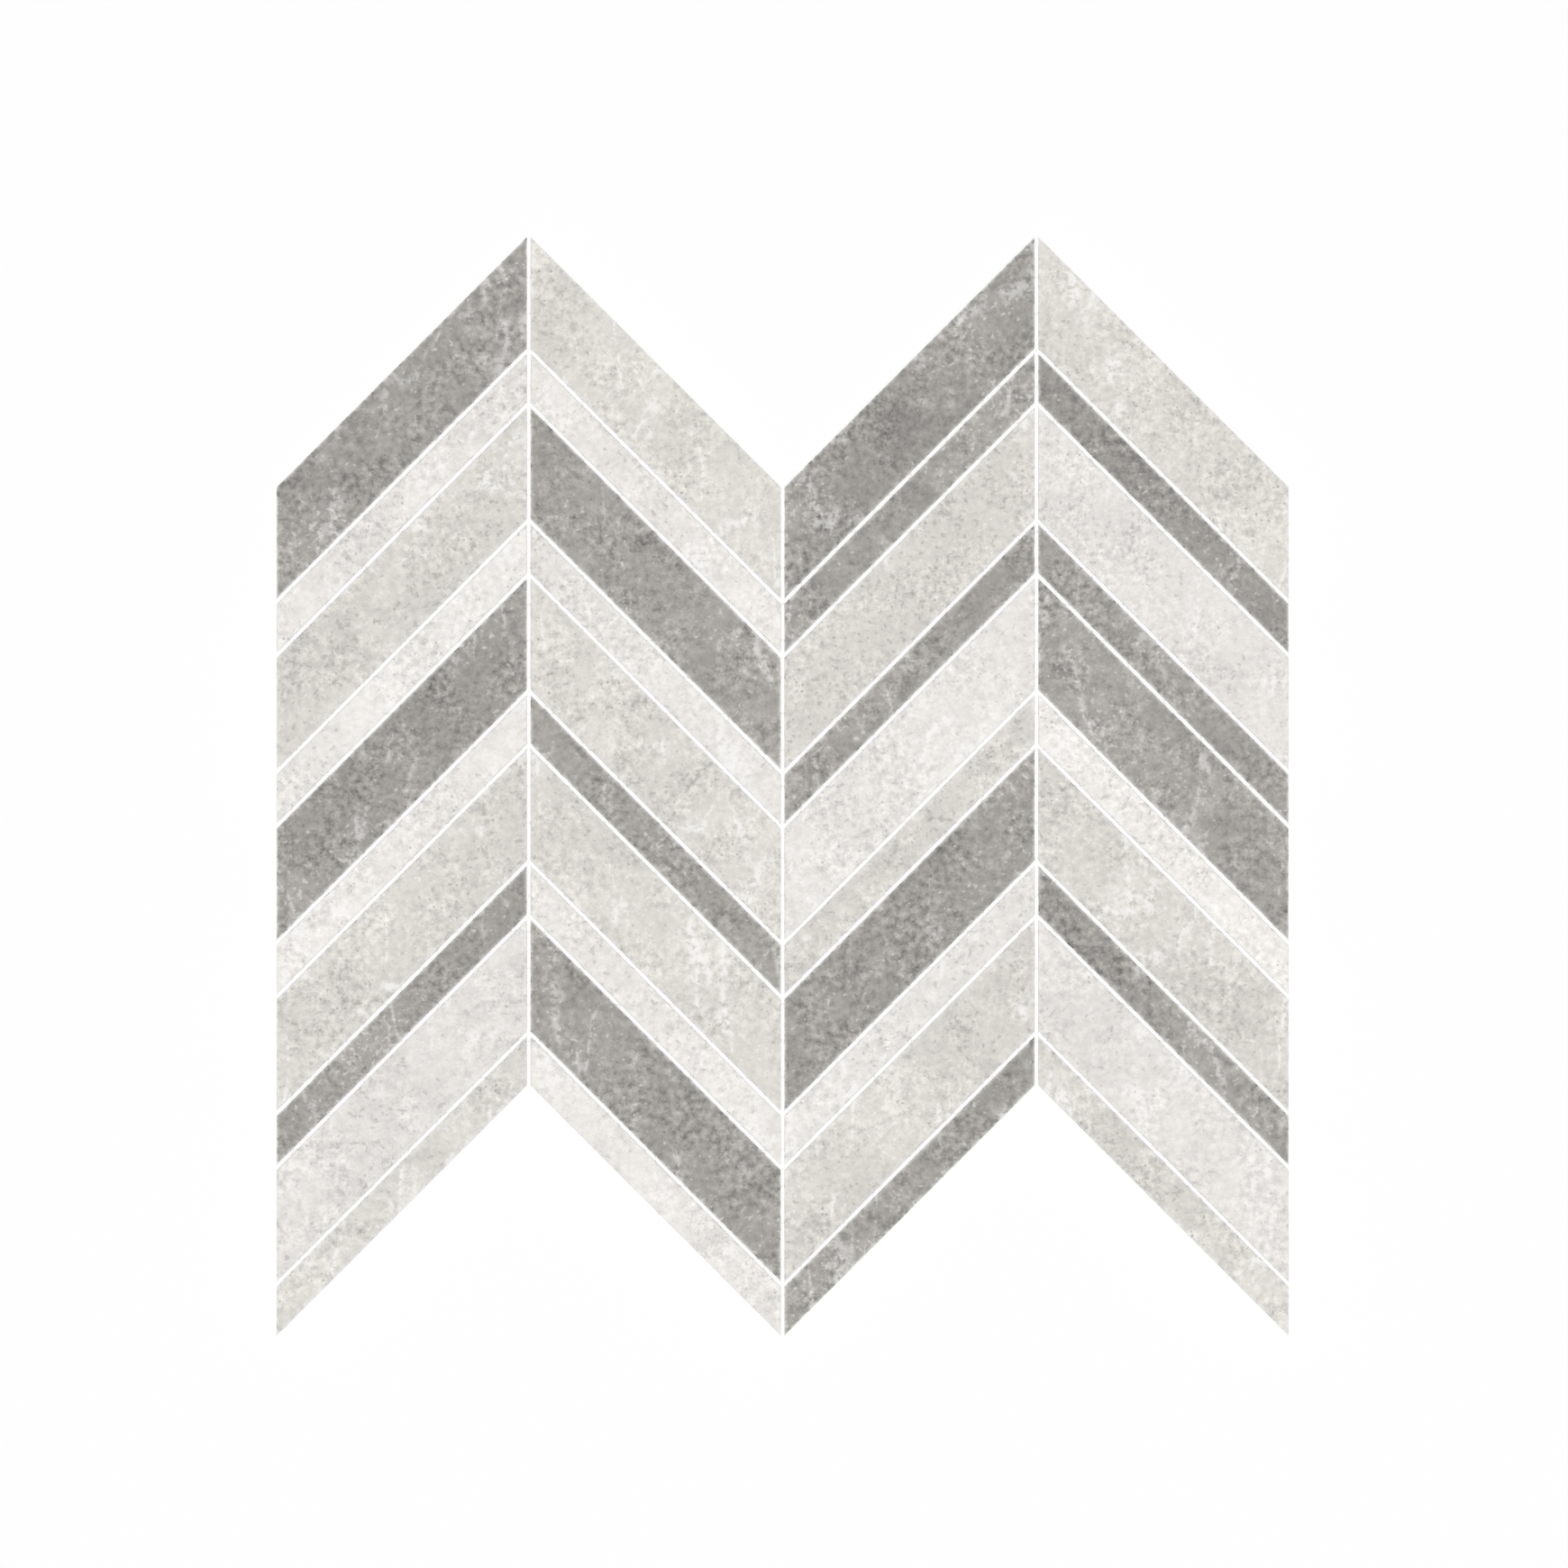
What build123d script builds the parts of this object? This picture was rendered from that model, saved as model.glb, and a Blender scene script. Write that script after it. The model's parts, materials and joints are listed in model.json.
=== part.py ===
"""Chevron mosaic sheet: sawn porcelain strips in four leaning columns, glued to a glass-fibre net.

The sheet lies flat on its net with the printed faces up. The origin is the middle of the underside,
+X runs across the columns, +Y along them and +Z out of the printed face. Sizes are in millimetres.
"""

from build123d import *

import os
from math import ceil, cos, floor, radians, tan

# Pattern: columns from left to right, and in each one wide and narrow strips in turn from the top
COLUMN_NAMES = "abcd"
PAIRS_PER_COLUMN = 5
LEAN_DEGREES = 45.0

# Strips, with their widths measured square across the long edges
COLUMN_WIDTH = 74.3
WIDE_STRIP = 23.4
NARROW_STRIP = 10.25
STRIP_THICKNESS = 9.0
ARRIS = 0.3
JOINT = 1.1

# Net: warp yarns run along the columns and carry the strips, weft yarns cross below them
YARN_PITCH = 10.8
YARN_WIDTH = 1.0
YARN_THICKNESS = 0.3
NET_SETBACK = 2.0

# Sizes that follow from those above
SLOPE = tan(radians(LEAN_DEGREES))
ALONG_COLUMN = 1 / cos(radians(LEAN_DEGREES))
COLUMN_PITCH = COLUMN_WIDTH + JOINT
STRIP_WIDTHS = [WIDE_STRIP, NARROW_STRIP] * PAIRS_PER_COLUMN
COLUMN_LENGTH = (sum(STRIP_WIDTHS) + JOINT * (len(STRIP_WIDTHS) - 1)) * ALONG_COLUMN
NET_THICKNESS = 2 * YARN_THICKNESS


def column_middle(column):
    """X of a column's centre line, with the columns spread evenly about X = 0."""
    return (column - (len(COLUMN_NAMES) - 1) / 2) * COLUMN_PITCH


def column_slope(column):
    """Rise of a strip for each millimetre along X: columns lean right and left in turn."""
    return SLOPE if column % 2 == 0 else -SLOPE


def leaning_outline(column, left, right, bottom, top):
    """Parallelogram between X = left and right, whose bottom and top are Y on the column's centre line."""
    middle, slope = column_middle(column), column_slope(column)
    corners = [(left, bottom), (right, bottom), (right, top), (left, top)]
    return make_face(Polyline(*[(x, y + (x - middle) * slope) for x, y in corners], close=True))


def strip(column, bottom, top):
    """One sawn strip on top of the net, with the arris of its printed face eased."""
    middle = column_middle(column)
    left, right = middle - COLUMN_WIDTH / 2, middle + COLUMN_WIDTH / 2
    footprint = leaning_outline(column, left, right, bottom, top)
    body = extrude(Pos(0, 0, NET_THICKNESS) * footprint, STRIP_THICKNESS)
    return chamfer(body.faces().sort_by(Axis.Z)[-1].edges(), ARRIS)


def column_strips(column):
    """The strips of a column from the top down, as (name, solid)."""
    top = COLUMN_LENGTH / 2
    for row, width in enumerate(STRIP_WIDTHS, start=1):
        bottom = top - width * ALONG_COLUMN
        kind = "wide" if row % 2 else "narrow"
        yield f"{kind}_strip_{COLUMN_NAMES[column]}{row:02d}", strip(column, bottom, top)
        top = bottom - JOINT * ALONG_COLUMN


def net_edge(column, side):
    """X where a column's share of the net ends: set back at the sheet's edge, else in mid joint."""
    at_sheet_edge = column == (0 if side < 0 else len(COLUMN_NAMES) - 1)
    reach = COLUMN_WIDTH / 2 - NET_SETBACK if at_sheet_edge else COLUMN_PITCH / 2
    return column_middle(column) + side * reach


def net_panel(column):
    """A column's share of the net: warp yarns lying on weft yarns and bonded where they cross."""
    left, right = net_edge(column, -1), net_edge(column, 1)
    reach = COLUMN_LENGTH / 2 - NET_SETBACK * ALONG_COLUMN
    outline = leaning_outline(column, left, right, -reach, reach)
    box = outline.bounding_box()
    warp_numbers = range(floor(left / YARN_PITCH), ceil(right / YARN_PITCH))
    weft_numbers = range(ceil(box.min.Y / YARN_PITCH), floor(box.max.Y / YARN_PITCH) + 1)
    warps = [Pos((n + 0.5) * YARN_PITCH, 0) * Rectangle(YARN_WIDTH, box.size.Y) for n in warp_numbers]
    wefts = [Pos(box.center().X, n * YARN_PITCH) * Rectangle(box.size.X, YARN_WIDTH) for n in weft_numbers]
    weft_layer = extrude(Sketch() + wefts & outline, YARN_THICKNESS)
    warp_layer = Pos(0, 0, YARN_THICKNESS) * extrude(Sketch() + warps & outline, YARN_THICKNESS)
    # Yarn ends in the sharp corners that cross no other yarn drop off when the net is trimmed
    return (weft_layer + warp_layer).solids().sort_by(SortBy.VOLUME)[-1]


def main():
    os.makedirs("parts", exist_ok=True)
    for column, name in enumerate(COLUMN_NAMES):
        for strip_name, solid in column_strips(column):
            export_step(solid, f"parts/{strip_name}.step")
        export_step(net_panel(column), f"parts/net_panel_{name}.step")


main()
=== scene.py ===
"""Chevron mosaic sheet: printed porcelain strips and their glass-fibre net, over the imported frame.

Each strip is sawn from a printed slab, so it has an eased and slightly nicked arris, a faint cast
relief, sawn sides and a keyed back. The net below is laid up from twisted strands, bonded where they
cross. Lengths are in metres in the frame's axes: +X across the columns, +Y along them and +Z out of
the printed face.
"""

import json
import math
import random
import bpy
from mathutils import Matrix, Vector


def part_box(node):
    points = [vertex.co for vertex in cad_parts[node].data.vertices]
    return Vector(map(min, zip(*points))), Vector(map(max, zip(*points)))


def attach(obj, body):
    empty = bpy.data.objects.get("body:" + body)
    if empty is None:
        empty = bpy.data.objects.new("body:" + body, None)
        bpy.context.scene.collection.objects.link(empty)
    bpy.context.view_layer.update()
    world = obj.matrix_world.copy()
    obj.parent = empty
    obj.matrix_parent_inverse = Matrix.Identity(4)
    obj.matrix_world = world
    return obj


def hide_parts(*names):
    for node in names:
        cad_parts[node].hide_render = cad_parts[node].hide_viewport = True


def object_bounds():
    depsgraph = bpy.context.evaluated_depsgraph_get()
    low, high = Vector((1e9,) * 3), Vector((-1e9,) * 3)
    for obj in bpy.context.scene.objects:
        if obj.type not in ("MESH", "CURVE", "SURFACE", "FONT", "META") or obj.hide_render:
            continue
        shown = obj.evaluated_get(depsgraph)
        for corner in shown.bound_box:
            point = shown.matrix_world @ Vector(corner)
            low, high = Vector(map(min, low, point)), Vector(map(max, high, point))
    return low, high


bl_info = {
    "name": "Chevron Mosaic Sheet",
    "version": (1, 0, 0),
    "blender": (4, 5, 0),
    "location": "View3D > Sidebar > Mosaic",
    "description": "Dresses a chevron mosaic sheet with printed porcelain strips and a glass-fibre net",
    "category": "Object",
}

import bmesh
import bpy
from bpy.props import FloatProperty, FloatVectorProperty, IntProperty, PointerProperty
from mathutils import Matrix, Vector, noise

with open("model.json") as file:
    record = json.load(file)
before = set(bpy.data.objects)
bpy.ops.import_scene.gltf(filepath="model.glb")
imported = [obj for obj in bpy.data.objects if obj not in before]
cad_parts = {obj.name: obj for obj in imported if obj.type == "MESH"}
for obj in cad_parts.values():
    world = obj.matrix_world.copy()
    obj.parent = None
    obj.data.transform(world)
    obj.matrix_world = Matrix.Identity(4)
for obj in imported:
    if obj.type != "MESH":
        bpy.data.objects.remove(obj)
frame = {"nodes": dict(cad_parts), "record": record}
CAD_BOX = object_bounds()

BODY = "root"
MM = 0.001
TOUCH = 0.01 * MM

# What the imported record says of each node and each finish
SLOT_OF = {part["node"]: part["material_slot"] for part in frame["record"]["subparts"]}
COLOUR_OF = {entry["slot"]: entry["base_color"] for entry in frame["record"]["materials"]}
STRIP_NODES = sorted(node for node in SLOT_OF if "_strip_" in node)
NET_NODES = sorted(node for node in SLOT_OF if node.startswith("net_panel_"))

# How finely a strip's mesh is divided, and what roughens it
FACE_CUTS = 4
ARRIS_SEGMENTS = 2
CHIP_RADII = (0.7 * MM, 2.0 * MM)
CHIP_DEPTHS = (0.2, 1.0)
WAVER_SIZE = 3.5 * MM
RELIEF_SIZE = 5.0 * MM
NOISE_SPAN = 5.0

# A face whose normal rises less than UPRIGHT is a side, and one that rises more than FLAT is level
UPRIGHT = 0.5
FLAT = 0.999

# How worn the arris and the face's rim are, partly wear and partly painted light that lifts the shade of
# their slopes, and how widely the strips' places on the slab are spread
ARRIS_WEAR_AND_LIGHT = 0.75
RIM_WEAR_AND_LIGHT = 0.2
SLAB_SPAN = 2.0

# Attributes that a strip's mesh hands to its materials
SLAB_PLACE = "slab_place"
TONE_SHIFT = "tone_shift"
# Wear of the arris and rim, partly painted light that lifts the shade of their slopes
EDGE_WEAR_AND_LIGHT = "edge_wear_and_light"

# How the prints differ: level, lift of narrow strips, spread between strips, and strength of each mark
PRINTS = {
    "dark_grey_porcelain": {
        "level": 0.95, "narrow": 0.015, "spread": 0.035,
        "clouds": 0.78, "grain": 1.80,
        "dark_flecks": 0.46, "pale_flecks": 0.37, "pit_shade": 0.2, "streaks": 0.32,
    },
    "greige_porcelain": {
        "level": 1.005, "narrow": -0.012, "spread": 0.016,
        "clouds": 0.48, "grain": 1.02,
        "dark_flecks": 0.44, "pale_flecks": 0.60, "pit_shade": 0.55, "streaks": 0.75,
    },
    "off_white_porcelain": {
        "level": 0.952, "narrow": 0.058, "spread": 0.026,
        "clouds": 0.37, "grain": 0.86,
        "dark_flecks": 0.42, "pale_flecks": 0.60, "pit_shade": 0.5, "streaks": 0.75,
    },
}
PALE = (0.90, 0.885, 0.86)
# White of the streaks and of the worn arris, where it also serves as painted light that lifts the
# arris's shade
STREAK_AND_LIT_WEAR_WHITE = (0.95, 0.94, 0.92)
# Darkness of the dark flecks, and of the painted shade in pits
FLECK_AND_PIT_SHADE = 0.45

# The marks of every print, from the broadest to the finest
CLOUD_SIZE = 36 * MM
STREAK_SIZE = 22 * MM
STREAK_TURN = (0.0, 0.0, 0.6)
STREAK_STRETCH = (1.0, 0.3, 1.0)
PATCH_SIZE = 13 * MM
CALM, BUSY = 0.6, 1.35
GRAIN_SIZE = 2.2 * MM
FLECK_SIZE = 1.7 * MM
FLECK_CROWDING = 0.55
# Dots of painted shade that stand for small pits, which have no relief
PIT_SHADE_SPOTS = {"pitch": 1.6 * MM, "radius": 0.5 * MM, "share": 0.45}
PRINT_BUMP = {"Strength": 0.5, "Distance": 0.08 * MM}

# The clay of a strip's sides and back
CLAY_SIZE = 1.4 * MM
CLAY_LEVEL, CLAY_SWING = 0.93, 0.14
SPECKS = {"pitch": 1.6 * MM, "radius": 0.3 * MM, "share": 0.35}
SPECK_SHADE, SPECK_STRENGTH = 0.6, 0.5
SAW_SIZE = 0.35 * MM
SAW_SQUASH = (0.02, 0.02, 1.0)
SAW_SWING = 0.16
SAW_BUMP = {"Strength": 0.6, "Distance": 0.06 * MM}

# The net's strands, the beads of resin at its crossings as shares of a yarn, and its coat
STRAND_SIDES = 6
STEPS_PER_TWIST = 6
BEAD_WIDTH, BEAD_HEIGHT = 0.75, 0.8
FILM_SIZE = 1.2 * MM
FILM_SWING = 0.12
FIBRE_SIZE = 0.25 * MM
FIBRE_BUMP = {"Strength": 0.5, "Distance": 0.05 * MM}

# The stage: share of the floor's white that is its own glow, and where lamps and camera stand
FLOOR_GLOW = 0.8
FLOOR_REACH = 4.0
OVERHEAD_HEIGHT = 2.0
OVERHEAD_ANGLE = math.radians(3)
SOFTBOX_ASIDE, SOFTBOX_FORWARD, SOFTBOX_HEIGHT = 1.1, -0.7, 0.8
SOFTBOX_SIZE = 0.9
CAMERA_HEIGHT = 1.0
NEAR_CLIP = 0.05


def length(name, description, default):
    """A length that a user may change."""
    return FloatProperty(name=name, description=description, default=default, min=0.0, unit="LENGTH")


def colour(name, description, default):
    """A colour that a user may change, in linear light."""
    return FloatVectorProperty(
        name=name, description=description, default=default, size=3, min=0.0, max=1.0, subtype="COLOR"
    )


class StripSettings(bpy.types.PropertyGroup):
    """Sizes and colours of the porcelain strips."""

    dark_grey: colour("Dark grey", "Printed face of the dark strips", COLOUR_OF["dark_grey_porcelain"])
    greige: colour("Greige", "Printed face of the greige strips", COLOUR_OF["greige_porcelain"])
    off_white: colour("Off-white", "Printed face of the palest strips", COLOUR_OF["off_white_porcelain"])
    arris: length("Arris", "Width that is eased off the printed face's edges", 0.3 * MM)
    chip_reach: length("Chip reach", "Depth below the face that chips can reach", 1.3 * MM)
    chip_depth: length("Chip depth", "Depth of the deepest chip along the arris", 0.4 * MM)
    chip_spacing: length("Chip spacing", "Mean distance between chips along the arris", 16 * MM)
    waver: length("Waver", "How far the sides wander in from a straight line", 0.12 * MM)
    relief: length("Relief", "Height of the printed face's cast relief", 0.06 * MM)
    key_pitch: length("Key pitch", "Distance between the pockets of the keyed back", 6.6 * MM)
    key_land: length("Key land", "Width of the ribs between two pockets", 1.8 * MM)
    key_depth: length("Key depth", "Depth of the pockets", 0.5 * MM)
    seed: IntProperty(name="Seed", description="Start of the strips' random draws", default=11, min=0)


class NetSettings(bpy.types.PropertyGroup):
    """Sizes and colour of the glass-fibre net."""

    resin_white: colour("Resin white", "Coated glass fibre", COLOUR_OF["glass_fibre_net"])
    yarn_width: length("Yarn width", "Width of a flattened yarn", 1.0 * MM)
    yarn_thickness: length("Yarn thickness", "Thickness of a flattened yarn", 0.3 * MM)
    twist_length: length("Twist length", "Length of one full twist of a yarn", 10.8 * MM)


class StageSettings(bpy.types.PropertyGroup):
    """Sizes and levels of the floor, the lamps and the camera."""

    floor_white: colour("Floor white", "Paint of the floor", (0.96, 0.96, 0.96))
    frame_width: length("Frame width", "Width of floor that the picture shows", 465.7 * MM)
    aside: length("Aside", "How far right of the sheet's middle the picture is centred", 0.42 * MM)
    above: length("Above", "How far up from the sheet's middle the picture is centred", 0.67 * MM)
    overhead_light: FloatProperty(
        name="Overhead light", description="Share of the light from straight above",
        default=0.90, min=0.0,
    )
    ambient_light: FloatProperty(
        name="Ambient light", description="Share of the light from all round",
        default=0.06, min=0.0,
    )
    side_power: FloatProperty(
        name="Side power", description="Power of each soft lamp beside the sheet",
        default=0.9, min=0.0, unit="POWER",
    )


class Shader:
    """A material's node tree, with short calls that add a node and join its sockets."""

    def __init__(self, name):
        self.material = bpy.data.materials.new(name)
        self.material.use_nodes = True
        self.tree = self.material.node_tree
        self.tree.nodes.clear()

    def add(self, kind, sockets, **settings):
        """Adds a node. A socket given as another socket is linked, and as anything else is set."""
        made = self.tree.nodes.new(kind)
        for setting, value in settings.items():
            setattr(made, setting, value)
        for key, value in sockets.items():
            if isinstance(value, bpy.types.NodeSocket):
                self.tree.links.new(value, made.inputs[key])
            else:
                made.inputs[key].default_value = value
        return made

    def math(self, operation, first, second=0.0):
        """One operation on two numbers."""
        return self.add("ShaderNodeMath", {0: first, 1: second}, operation=operation).outputs[0]

    def place(self):
        """Object coordinates, moved to where the strip was sawn from its slab."""
        here = self.add("ShaderNodeTexCoord", {}).outputs["Object"]
        slab = self.attribute(SLAB_PLACE, "Vector")
        return self.add("ShaderNodeVectorMath", {0: here, 1: slab}, operation="ADD").outputs["Vector"]

    def attribute(self, name, output="Fac"):
        """An attribute of the piece's mesh."""
        return self.add("ShaderNodeAttribute", {}, attribute_name=name).outputs[output]

    def noise(self, place, size, detail=2.0, roughness=0.5):
        """Soft noise between 0 and 1 with blotches of about the given size."""
        sockets = {"Vector": place, "Scale": 1.0 / size, "Detail": detail, "Roughness": roughness}
        return self.add("ShaderNodeTexNoise", sockets).outputs["Fac"]

    def ramp(self, value, start, end, low=0.0, high=1.0):
        """Smooth step of a value from low to high between start and end."""
        sockets = {"Value": value, "From Min": start, "From Max": end, "To Min": low, "To Max": high}
        return self.add("ShaderNodeMapRange", sockets, interpolation_type="SMOOTHSTEP").outputs["Result"]

    def swing(self, value, amount):
        """A noise value turned into a change of tone of plus or minus about half the amount."""
        return self.math("MULTIPLY", self.math("SUBTRACT", value, 0.5), amount)

    def spots(self, place, pitch, radius, share):
        """Mask of small round spots with soft rims, one in some of the cells of the given pitch."""
        cells = self.add("ShaderNodeTexVoronoi", {"Vector": place, "Scale": 1.0 / pitch})
        draw = self.add("ShaderNodeSeparateColor", {"Color": cells.outputs["Color"]})
        largest = radius / pitch
        size = self.math("MULTIPLY", draw.outputs["Green"], largest)
        chosen = self.math("LESS_THAN", draw.outputs["Red"], share)
        inside = self.math("SUBTRACT", size, cells.outputs["Distance"])
        round_spot = self.ramp(inside, -0.12 * largest, 0.25 * largest)
        return self.math("MULTIPLY", round_spot, chosen)

    def scaled(self, tint, factor):
        """A colour, given or from a socket, made lighter or darker."""
        node = self.add("ShaderNodeVectorMath", {0: tint, "Scale": factor}, operation="SCALE")
        return node.outputs["Vector"]

    def blend(self, mask, under, over):
        """One colour laid over another where the mask is 1."""
        node = self.add("ShaderNodeMix", {0: mask, 6: under, 7: over}, data_type="RGBA")
        return node.outputs[2]

    def principled(self, sockets):
        """The surface itself."""
        surface = self.add("ShaderNodeBsdfPrincipled", sockets)
        self.add("ShaderNodeOutputMaterial", {"Surface": surface.outputs["BSDF"]})
        return self.material


def rgba(tint, factor=1.0):
    """A colour as a shader socket wants it."""
    return (*(channel * factor for channel in tint), 1.0)


def printed_face(slot, tint):
    """Matt stone-look print: clouds, grain in calm and busy patches, flecks, dark dots of painted shade
    in pits, fine streaks, and edge wear that is partly painted light.
    """
    look = PRINTS[slot]
    shader = Shader(f"{slot}_print")
    place = shader.place()
    clouds = shader.noise(place, CLOUD_SIZE, detail=3.0, roughness=0.85)
    patches = shader.noise(place, PATCH_SIZE, detail=1.0)
    busy = shader.ramp(patches, 0.36, 0.64, CALM, BUSY)
    grain = shader.noise(place, GRAIN_SIZE, detail=3.0, roughness=0.7)
    tone = shader.math("ADD", look["level"], shader.attribute(TONE_SHIFT))
    tone = shader.math("ADD", tone, shader.swing(clouds, look["clouds"]))
    stirred = shader.math("MULTIPLY", shader.swing(grain, look["grain"]), busy)
    ground = shader.scaled(tint, shader.math("ADD", tone, stirred))

    # Flecks crowd together: dark ones where the clouds are dim and pale ones where they are bright
    flecks = shader.noise(place, FLECK_SIZE, detail=1.0, roughness=0.6)
    flecks = shader.math("ADD", flecks, shader.swing(clouds, FLECK_CROWDING))
    dark_flecks = shader.ramp(flecks, 0.37, 0.23)
    pale_flecks = shader.ramp(flecks, 0.63, 0.77)
    # Pits are only dots of painted shade, in the busy patches
    pit_shade = shader.math("MULTIPLY", shader.spots(place, **PIT_SHADE_SPOTS), shader.ramp(patches, 0.42, 0.58))

    # Streaks follow the level lines of a stretched noise, and break up in the grain
    sweep = {"Vector": place, "Rotation": STREAK_TURN, "Scale": STREAK_STRETCH}
    swept = shader.add("ShaderNodeMapping", sweep).outputs["Vector"]
    line = shader.noise(swept, STREAK_SIZE, detail=2.0, roughness=0.55)
    line = shader.math("ABSOLUTE", shader.math("SUBTRACT", line, 0.5))
    streaks = shader.math("MULTIPLY", shader.ramp(line, 0.026, 0.0), shader.ramp(clouds, 0.47, 0.56))
    streaks = shader.math("MULTIPLY", streaks, shader.ramp(grain, 0.38, 0.57))
    # The arris and rim are painted paler: partly wear, partly painted light against the shade of their
    # slopes
    lit_wear = shader.math("MULTIPLY", shader.attribute(EDGE_WEAR_AND_LIGHT), shader.ramp(grain, 0.28, 0.57))

    shade = rgba(tint, FLECK_AND_PIT_SHADE)
    face = shader.blend(shader.math("MULTIPLY", dark_flecks, look["dark_flecks"]), ground, shade)
    face = shader.blend(shader.math("MULTIPLY", pit_shade, look["pit_shade"]), face, shade)
    face = shader.blend(shader.math("MULTIPLY", pale_flecks, look["pale_flecks"]), face, rgba(PALE))
    face = shader.blend(shader.math("MULTIPLY", streaks, look["streaks"]), face, rgba(STREAK_AND_LIT_WEAR_WHITE))
    face = shader.blend(lit_wear, face, rgba(STREAK_AND_LIT_WEAR_WHITE))

    height = shader.math("SUBTRACT", grain, dark_flecks)
    bump = shader.add("ShaderNodeBump", {"Height": height, **PRINT_BUMP})
    return shader.principled({
        "Base Color": face,
        "Roughness": shader.ramp(grain, 0.35, 0.65, 0.72, 0.84),
        "Normal": bump.outputs["Normal"],
        "Specular IOR Level": 0.35,
    })


def sawn_body(slot, tint):
    """Fired body of the sides and back: plain clay with fine specks and the level lines of the saw."""
    shader = Shader(f"{slot}_body")
    place = shader.place()
    clay = shader.noise(place, CLAY_SIZE)
    specks = shader.math("MULTIPLY", shader.spots(place, **SPECKS), SPECK_STRENGTH)
    flat = shader.add("ShaderNodeVectorMath", {0: place, 1: SAW_SQUASH}, operation="MULTIPLY")
    saw = shader.noise(flat.outputs["Vector"], SAW_SIZE, detail=1.0)
    tone = shader.math("ADD", CLAY_LEVEL, shader.swing(clay, CLAY_SWING))
    tone = shader.math("ADD", tone, shader.swing(saw, SAW_SWING))
    ground = shader.scaled(tint, tone)
    height = shader.math("ADD", saw, shader.swing(clay, 0.5))
    bump = shader.add("ShaderNodeBump", {"Height": height, **SAW_BUMP})
    return shader.principled({
        "Base Color": shader.blend(specks, ground, rgba(tint, SPECK_SHADE)),
        "Roughness": shader.ramp(clay, 0.3, 0.7, 0.80, 0.92),
        "Normal": bump.outputs["Normal"],
        "Specular IOR Level": 0.3,
    })


def resin_coat(tint):
    """White resin over glass strands: slightly uneven, with a dull shine."""
    shader = Shader("resin_coated_glass")
    place = shader.add("ShaderNodeTexCoord", {}).outputs["Object"]
    film = shader.noise(place, FILM_SIZE)
    fibre = shader.noise(place, FIBRE_SIZE, detail=1.0)
    tone = shader.math("ADD", 1.0, shader.swing(film, FILM_SWING))
    bump = shader.add("ShaderNodeBump", {"Height": fibre, **FIBRE_BUMP})
    return shader.principled({
        "Base Color": shader.scaled(tint, tone),
        "Roughness": shader.ramp(film, 0.3, 0.7, 0.42, 0.6),
        "Normal": bump.outputs["Normal"],
    })


def strip_footprint(node):
    """Matrix that takes a unit square to a strip's underside, with the strip's top height."""
    low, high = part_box(node)
    corners = [vertex.co for vertex in frame["nodes"][node].data.vertices]
    left_foot = min(corner.y for corner in corners if corner.x < low.x + TOUCH)
    right_foot = min(corner.y for corner in corners if corner.x > high.x - TOUCH)
    rise = right_foot - left_foot
    end_height = high.y - low.y - abs(rise)
    middle = (low + high) / 2
    square_to_strip = Matrix((
        (high.x - low.x, 0.0, 0.0, middle.x),
        (rise, end_height, 0.0, middle.y),
        (0.0, 0.0, 1.0, low.z),
        (0.0, 0.0, 0.0, 1.0),
    ))
    return square_to_strip, high.z


def level_edges(bm, height):
    """Edges that lie at one height."""
    return [edge for edge in bm.edges if all(abs(vertex.co.z - height) < TOUCH for vertex in edge.verts)]


def on_rim(edge):
    """Whether an edge borders one of the upright sides."""
    return any(abs(face.normal.z) < UPRIGHT for face in edge.link_faces)


def strip_blank(settings, square_to_strip, top):
    """A strip as it leaves the saw: keyed back, upright sides, eased arris and a face in small cells."""
    long_edge = square_to_strip.col[0].xyz.length
    end_edge = square_to_strip.col[1].xyz.length
    bottom = square_to_strip.translation.z
    bm = bmesh.new()
    bmesh.ops.create_grid(
        bm,
        x_segments=round(long_edge / settings.key_pitch),
        y_segments=max(2, round(end_edge / settings.key_pitch)),
        size=0.5,
        matrix=square_to_strip,
    )
    raised = bmesh.ops.extrude_face_region(bm, geom=bm.faces[:], use_keep_orig=True)["geom"]
    upper = [item for item in raised if isinstance(item, bmesh.types.BMVert)]
    bmesh.ops.translate(bm, verts=upper, vec=(0.0, 0.0, top - bottom))
    bmesh.ops.recalc_face_normals(bm, faces=bm.faces[:])
    underside = [face for face in bm.faces if face.normal.z < -UPRIGHT]
    bmesh.ops.inset_individual(
        bm, faces=underside, thickness=settings.key_land / 2, depth=-settings.key_depth,
        use_even_offset=True,
    )
    band = top - settings.chip_reach
    everything = bm.verts[:] + bm.edges[:] + bm.faces[:]
    bmesh.ops.bisect_plane(bm, geom=everything, plane_co=(0.0, 0.0, band), plane_no=(0.0, 0.0, 1.0))
    foot = [edge for edge in level_edges(bm, bottom) if on_rim(edge)]
    fine = level_edges(bm, top) + level_edges(bm, band) + foot
    bmesh.ops.subdivide_edges(bm, edges=fine, cuts=FACE_CUTS, use_grid_fill=True)
    bmesh.ops.bevel(
        bm, geom=[edge for edge in level_edges(bm, top) if on_rim(edge)], offset=settings.arris,
        offset_type="OFFSET", segments=ARRIS_SEGMENTS, profile=0.5, affect="EDGES", material=-1,
    )
    return bm


def strip_sides(square_to_strip):
    """Outward normal of each upright side, with how far along it the side lies."""
    middle = square_to_strip.translation.xy
    run, end = square_to_strip.col[0].xy, square_to_strip.col[1].xy
    across = Vector((-run.y, run.x)).normalized()
    for normal, half in ((Vector((1.0, 0.0)), run.x / 2), (across, end.dot(across) / 2)):
        for outward in (normal, -normal):
            yield outward, outward.dot(middle) + half


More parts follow.
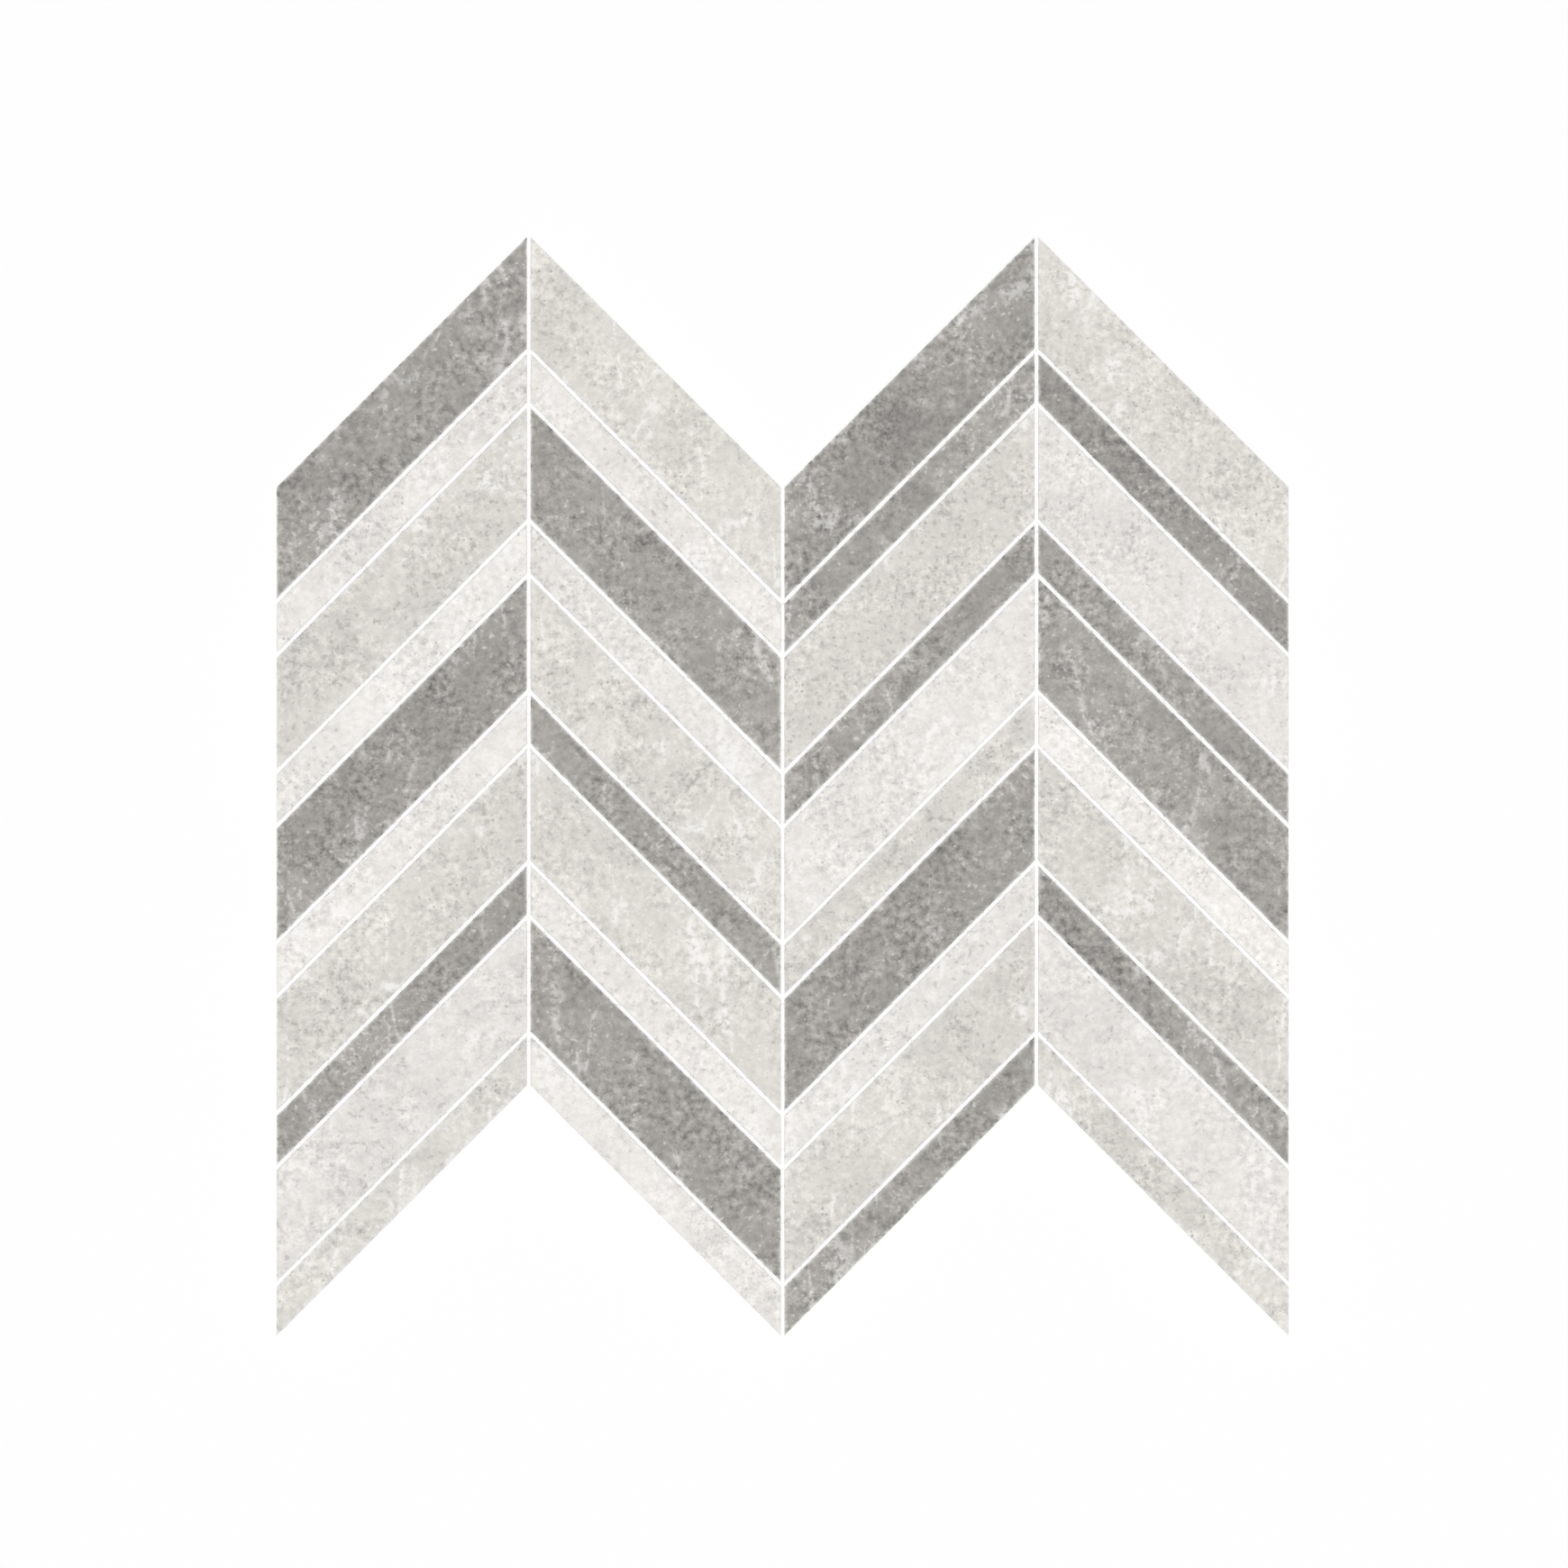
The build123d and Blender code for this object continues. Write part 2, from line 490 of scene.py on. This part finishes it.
def weather(bm, settings, square_to_strip, top, draws):
    """Gives the face its cast relief, the sides their waver and the arris its chips."""
    drift = Vector([draws.uniform(-NOISE_SPAN, NOISE_SPAN) for _ in range(3)])
    sides = list(strip_sides(square_to_strip))
    arris_foot = {vertex for edge in level_edges(bm, top - settings.arris) for vertex in edge.verts}
    cell = settings.key_pitch / (FACE_CUTS + 1)
    chips = [
        (vertex.co.copy(), draws.uniform(*CHIP_RADII), settings.chip_depth * draws.uniform(*CHIP_DEPTHS))
        for vertex in bm.verts
        if vertex in arris_foot and draws.random() < cell / settings.chip_spacing
    ]
    moves = {}
    for vertex in bm.verts:
        spot = vertex.co.xy
        near = [
            normal for normal, offset in sides if offset - normal.dot(spot) < settings.arris + TOUCH
        ]
        wander = abs(noise.fractal(Vector((*spot, 0.0)) / WAVER_SIZE + drift, 0.7, 2.0, 2))
        inward = -sum(near, Vector((0.0, 0.0))) * settings.waver * min(1.0, wander)
        move = Vector((*inward, 0.0))
        for centre, radius, depth in chips:
            reach = (vertex.co - centre).length / radius
            if reach < 1.0:
                move.z -= depth * (1.0 - reach * reach)
        if vertex.co.z > top - TOUCH:
            swell = noise.fractal(vertex.co / RELIEF_SIZE + drift, 0.8, 2.0, 3)
            move.z -= settings.relief * min(1.0, abs(swell))
        moves[vertex] = move
    for vertex, move in moves.items():
        vertex.co += move


def make_object(name, bm, materials):
    """Turns a bmesh into a piece that rides on the sheet."""
    mesh = bpy.data.meshes.new(name)
    bm.to_mesh(mesh)
    bm.free()
    for material in materials:
        mesh.materials.append(material)
    piece = bpy.data.objects.new(name, mesh)
    bpy.context.scene.collection.objects.link(piece)
    return piece


def finish_strip(bm, settings, top, slab, tone):
    """Marks a blank's print and sawn body, where its arris is worn and painted lighter against its
    shade, and what slab it was sawn from.
    """
    place = bm.verts.layers.float_vector.new(SLAB_PLACE)
    shift = bm.verts.layers.float.new(TONE_SHIFT)
    lit_wear = bm.verts.layers.float.new(EDGE_WEAR_AND_LIGHT)
    arris_foot = top - settings.arris - TOUCH
    for vertex in bm.verts:
        vertex[place] = slab
        vertex[shift] = tone
        # The arris and the face's rim are painted paler, partly as wear and partly as painted light
        # against their shade
        if arris_foot < vertex.co.z < top - TOUCH:
            vertex[lit_wear] = ARRIS_WEAR_AND_LIGHT
    for edge in level_edges(bm, top):
        if any(face.normal.z < FLAT for face in edge.link_faces):
            for vertex in edge.verts:
                vertex[lit_wear] = RIM_WEAR_AND_LIGHT
    for face in bm.faces:
        printed = face.calc_center_median().z > arris_foot
        face.material_index = 0 if printed else 1
        face.smooth = printed
    for edge in level_edges(bm, top - settings.arris):
        edge.smooth = False


def strip_piece(settings, node, materials, draws):
    """One finished strip in place of its CAD solid."""
    square_to_strip, top = strip_footprint(node)
    bm = strip_blank(settings, square_to_strip, top)
    bm.normal_update()
    slab = Vector([draws.uniform(-SLAB_SPAN, SLAB_SPAN) for _ in range(3)])
    look = PRINTS[SLOT_OF[node]]
    tone = draws.gauss(look["narrow"] if node.startswith("narrow") else 0.0, look["spread"])
    finish_strip(bm, settings, top, slab, tone)
    weather(bm, settings, square_to_strip, top, draws)
    piece = make_object(node.replace("strip", "printed_strip"), bm, materials)
    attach(piece, BODY)
    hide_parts(node)
    return piece


class MOSAIC_OT_strips(bpy.types.Operator):
    """Make the forty porcelain strips"""

    bl_idname = "mosaic.strips"
    bl_label = "Make Strips"

    def execute(self, context):
        settings = context.scene.mosaic_strips
        tints = {
            "dark_grey_porcelain": settings.dark_grey,
            "greige_porcelain": settings.greige,
            "off_white_porcelain": settings.off_white,
        }
        finishes = {
            slot: (printed_face(slot, tuple(tint)), sawn_body(slot, tuple(tint)))
            for slot, tint in tints.items()
        }
        draws = random.Random(settings.seed)
        for node in STRIP_NODES:
            strip_piece(settings, node, finishes[SLOT_OF[node]], draws)
        return {"FINISHED"}


def yarn_lines(settings, node, height, across):
    """Middle, start and end of each yarn with a flat side at a height, read from the net's CAD node."""
    along = 1 - across
    points = [vertex.co for vertex in frame["nodes"][node].data.vertices]
    corners = [point for point in points if abs(point.z - height) < TOUCH]
    yarns = []
    for corner in sorted(corners, key=lambda point: point[across]):
        if not yarns or corner[across] - yarns[-1][0][across] > 1.5 * settings.yarn_width:
            yarns.append([])
        yarns[-1].append(corner)
    for yarn in yarns:
        middle = (yarn[0][across] + yarn[-1][across]) / 2
        flanks = [
            [point[along] for point in yarn if (point[across] < middle) == low] for low in (True, False)
        ]
        start = sum(min(flank) for flank in flanks) / len(flanks)
        end = sum(max(flank) for flank in flanks) / len(flanks)
        yield middle, start, end


def gather(whole, part):
    """Adds a small bmesh to a large one, which operators would work through slowly."""
    mesh = bpy.data.meshes.new("part")
    part.to_mesh(mesh)
    part.free()
    whole.from_mesh(mesh)
    bpy.data.meshes.remove(mesh)


def twisted_yarn(settings, across, middle, start, end, height):
    """A pair of strands spun about the yarn's line, pressed flat and laid at its height."""
    along = Vector((0.0, 1.0, 0.0)) if across == 0 else Vector((1.0, 0.0, 0.0))
    run = end - start
    steps = max(2, round(run / settings.twist_length * STEPS_PER_TWIST))
    strand = settings.yarn_width / 4
    upright = along.to_track_quat("Z", "Y").to_matrix().to_4x4()
    bm = bmesh.new()
    for side in (-strand, strand):
        beside = upright @ Matrix.Translation((side, 0.0, 0.0))
        ring = bmesh.ops.create_circle(
            bm, cap_ends=True, segments=STRAND_SIDES, radius=strand, matrix=beside
        )
        edges = {edge for vertex in ring["verts"] for edge in vertex.link_edges}
        spun = bmesh.ops.spin(
            bm, geom=list(edges), cent=(0.0, 0.0, 0.0), axis=along, dvec=along * run / steps,
            angle=math.tau * run / settings.twist_length, steps=steps,
        )
        bmesh.ops.contextual_create(bm, geom=spun["geom_last"])
    bmesh.ops.scale(bm, verts=bm.verts[:], vec=(1.0, 1.0, settings.yarn_thickness / settings.yarn_width))
    origin = Vector((middle, start, height)) if across == 0 else Vector((start, middle, height))
    bmesh.ops.translate(bm, verts=bm.verts[:], vec=origin)
    bmesh.ops.recalc_face_normals(bm, faces=bm.faces[:])
    return bm


def resin_drops(settings, crossings, height):
    """The beads of resin that bond two yarns wherever they cross."""
    width, thickness = settings.yarn_width * BEAD_WIDTH, settings.yarn_thickness * BEAD_HEIGHT
    bm = bmesh.new()
    for x, y in crossings:
        squash = Matrix.Translation((x, y, height)) @ Matrix.Diagonal((width, width, thickness, 1.0))
        bmesh.ops.create_icosphere(bm, subdivisions=1, radius=1.0, matrix=squash)
    return bm


def net_piece(settings, node, coat):
    """A panel of the net in place of its CAD solid: warps over wefts, with resin at each crossing."""
    low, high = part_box(node)
    half = settings.yarn_thickness / 2
    warps = list(yarn_lines(settings, node, high.z, 0))
    wefts = list(yarn_lines(settings, node, low.z, 1))
    bm = bmesh.new()
    for middle, start, end in warps:
        gather(bm, twisted_yarn(settings, 0, middle, start, end, high.z - half))
    for middle, start, end in wefts:
        gather(bm, twisted_yarn(settings, 1, middle, start, end, low.z + half))
    crossings = [
        (x, y) for x, bottom, top in warps for y, left, right in wefts
        if bottom < y < top and left < x < right
    ]
    gather(bm, resin_drops(settings, crossings, (low.z + high.z) / 2))
    piece = make_object(node.replace("panel", "weave"), bm, [coat])
    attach(piece, BODY)
    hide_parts(node)
    return piece


class MOSAIC_OT_net(bpy.types.Operator):
    """Lay up the glass-fibre net"""

    bl_idname = "mosaic.net"
    bl_label = "Make Net"

    def execute(self, context):
        settings = context.scene.mosaic_net
        coat = resin_coat(tuple(settings.resin_white))
        for node in NET_NODES:
            net_piece(settings, node, coat)
        return {"FINISHED"}


def lit_floor(tint):
    """Pale paint that still takes the sheet's shadow, and that the camera sees as white."""
    shader = Shader("pale_floor")
    path = shader.add("ShaderNodeLightPath", {}).outputs
    seen = shader.math("MAXIMUM", path["Is Camera Ray"], path["Is Glossy Ray"])
    seen = shader.math("MAXIMUM", seen, path["Is Transmission Ray"])
    paint = shader.add("ShaderNodeBsdfDiffuse", {"Color": rgba(tint)})
    glow = shader.add("ShaderNodeEmission", {"Color": (1.0, 1.0, 1.0, 1.0), "Strength": 1.0})
    share = shader.math("MULTIPLY", seen, FLOOR_GLOW)
    mixed = shader.add("ShaderNodeMixShader", {0: share, 1: paint.outputs[0], 2: glow.outputs[0]})
    shader.add("ShaderNodeOutputMaterial", {"Surface": mixed.outputs[0]})
    return shader.material


def add_lamp(name, kind, energy, place, target, **settings):
    """A lamp at a place, turned to its target."""
    data = bpy.data.lights.new(name, kind)
    data.energy = energy
    for setting, value in settings.items():
        setattr(data, setting, value)
    lamp = bpy.data.objects.new(name, data)
    lamp.location = place
    lamp.rotation_mode = "QUATERNION"
    lamp.rotation_quaternion = (Vector(target) - Vector(place)).to_track_quat("-Z", "Y")
    bpy.context.scene.collection.objects.link(lamp)
    return lamp


class MOSAIC_OT_stage(bpy.types.Operator):
    """Set the floor, the lamps and the camera"""

    bl_idname = "mosaic.stage"
    bl_label = "Set Stage"

    def execute(self, context):
        settings = context.scene.mosaic_stage
        scene = context.scene
        bm = bmesh.new()
        bmesh.ops.create_grid(bm, x_segments=4, y_segments=4, size=FLOOR_REACH)
        bmesh.ops.translate(bm, verts=bm.verts[:], vec=(0.0, 0.0, CAD_BOX[0].z - 2 * TOUCH))
        floor = make_object("floor", bm, [lit_floor(tuple(settings.floor_white))])

        scene.view_settings.view_transform = "Standard"
        world = bpy.data.worlds.new("studio")
        scene.world = world
        world.use_nodes = True
        tree = world.node_tree
        sky = tree.nodes["Background"]
        path = tree.nodes.new("ShaderNodeLightPath")
        level = tree.nodes.new("ShaderNodeMapRange")
        level.inputs["To Min"].default_value = settings.ambient_light
        level.inputs["To Max"].default_value = 1.0
        tree.links.new(path.outputs["Is Camera Ray"], level.inputs["Value"])
        tree.links.new(level.outputs["Result"], sky.inputs["Strength"])
        sky.inputs["Color"].default_value = (1.0, 1.0, 1.0, 1.0)

        middle = (CAD_BOX[0] + CAD_BOX[1]) / 2
        overhead = math.pi * settings.overhead_light
        high_up = middle + Vector((0.0, 0.0, OVERHEAD_HEIGHT))
        add_lamp("overhead", "SUN", overhead, high_up, middle, angle=OVERHEAD_ANGLE)
        for name, side in (("left_softbox", -1.0), ("right_softbox", 1.0)):
            place = middle + Vector((side * SOFTBOX_ASIDE, SOFTBOX_FORWARD, SOFTBOX_HEIGHT))
            add_lamp(name, "AREA", settings.side_power, place, middle, shape="SQUARE", size=SOFTBOX_SIZE)

        data = bpy.data.cameras.new("camera")
        data.type = "ORTHO"
        data.ortho_scale = settings.frame_width
        data.clip_start = NEAR_CLIP
        camera = bpy.data.objects.new("camera", data)
        camera.location = (middle.x + settings.aside, middle.y + settings.above, CAMERA_HEIGHT)
        scene.collection.objects.link(camera)
        scene.camera = camera
        return {"FINISHED"}


class MOSAIC_PT_sheet(bpy.types.Panel):
    """Lists the steps that dress the sheet, with their settings"""

    bl_idname = "MOSAIC_PT_sheet"
    bl_label = "Chevron Mosaic Sheet"
    bl_space_type = "VIEW_3D"
    bl_region_type = "UI"
    bl_category = "Mosaic"

    def draw(self, context):
        for operator, group in STEPS:
            box = self.layout.box()
            box.operator(operator)
            settings = getattr(context.scene, group)
            for setting in settings.__annotations__:
                box.prop(settings, setting)


STEPS = (
    ("mosaic.strips", "mosaic_strips"),
    ("mosaic.net", "mosaic_net"),
    ("mosaic.stage", "mosaic_stage"),
)
GROUPS = {"mosaic_strips": StripSettings, "mosaic_net": NetSettings, "mosaic_stage": StageSettings}
CLASSES = (*GROUPS.values(), MOSAIC_OT_strips, MOSAIC_OT_net, MOSAIC_OT_stage, MOSAIC_PT_sheet)


def register():
    for made in CLASSES:
        bpy.utils.register_class(made)
    for name, group in GROUPS.items():
        setattr(bpy.types.Scene, name, PointerProperty(type=group))


def unregister():
    for name in GROUPS:
        delattr(bpy.types.Scene, name)
    for made in reversed(CLASSES):
        bpy.utils.unregister_class(made)


def main():
    register()
    bpy.ops.mosaic.strips()
    bpy.ops.mosaic.net()
    bpy.ops.mosaic.stage()


if __name__ == "__main__":
    main()
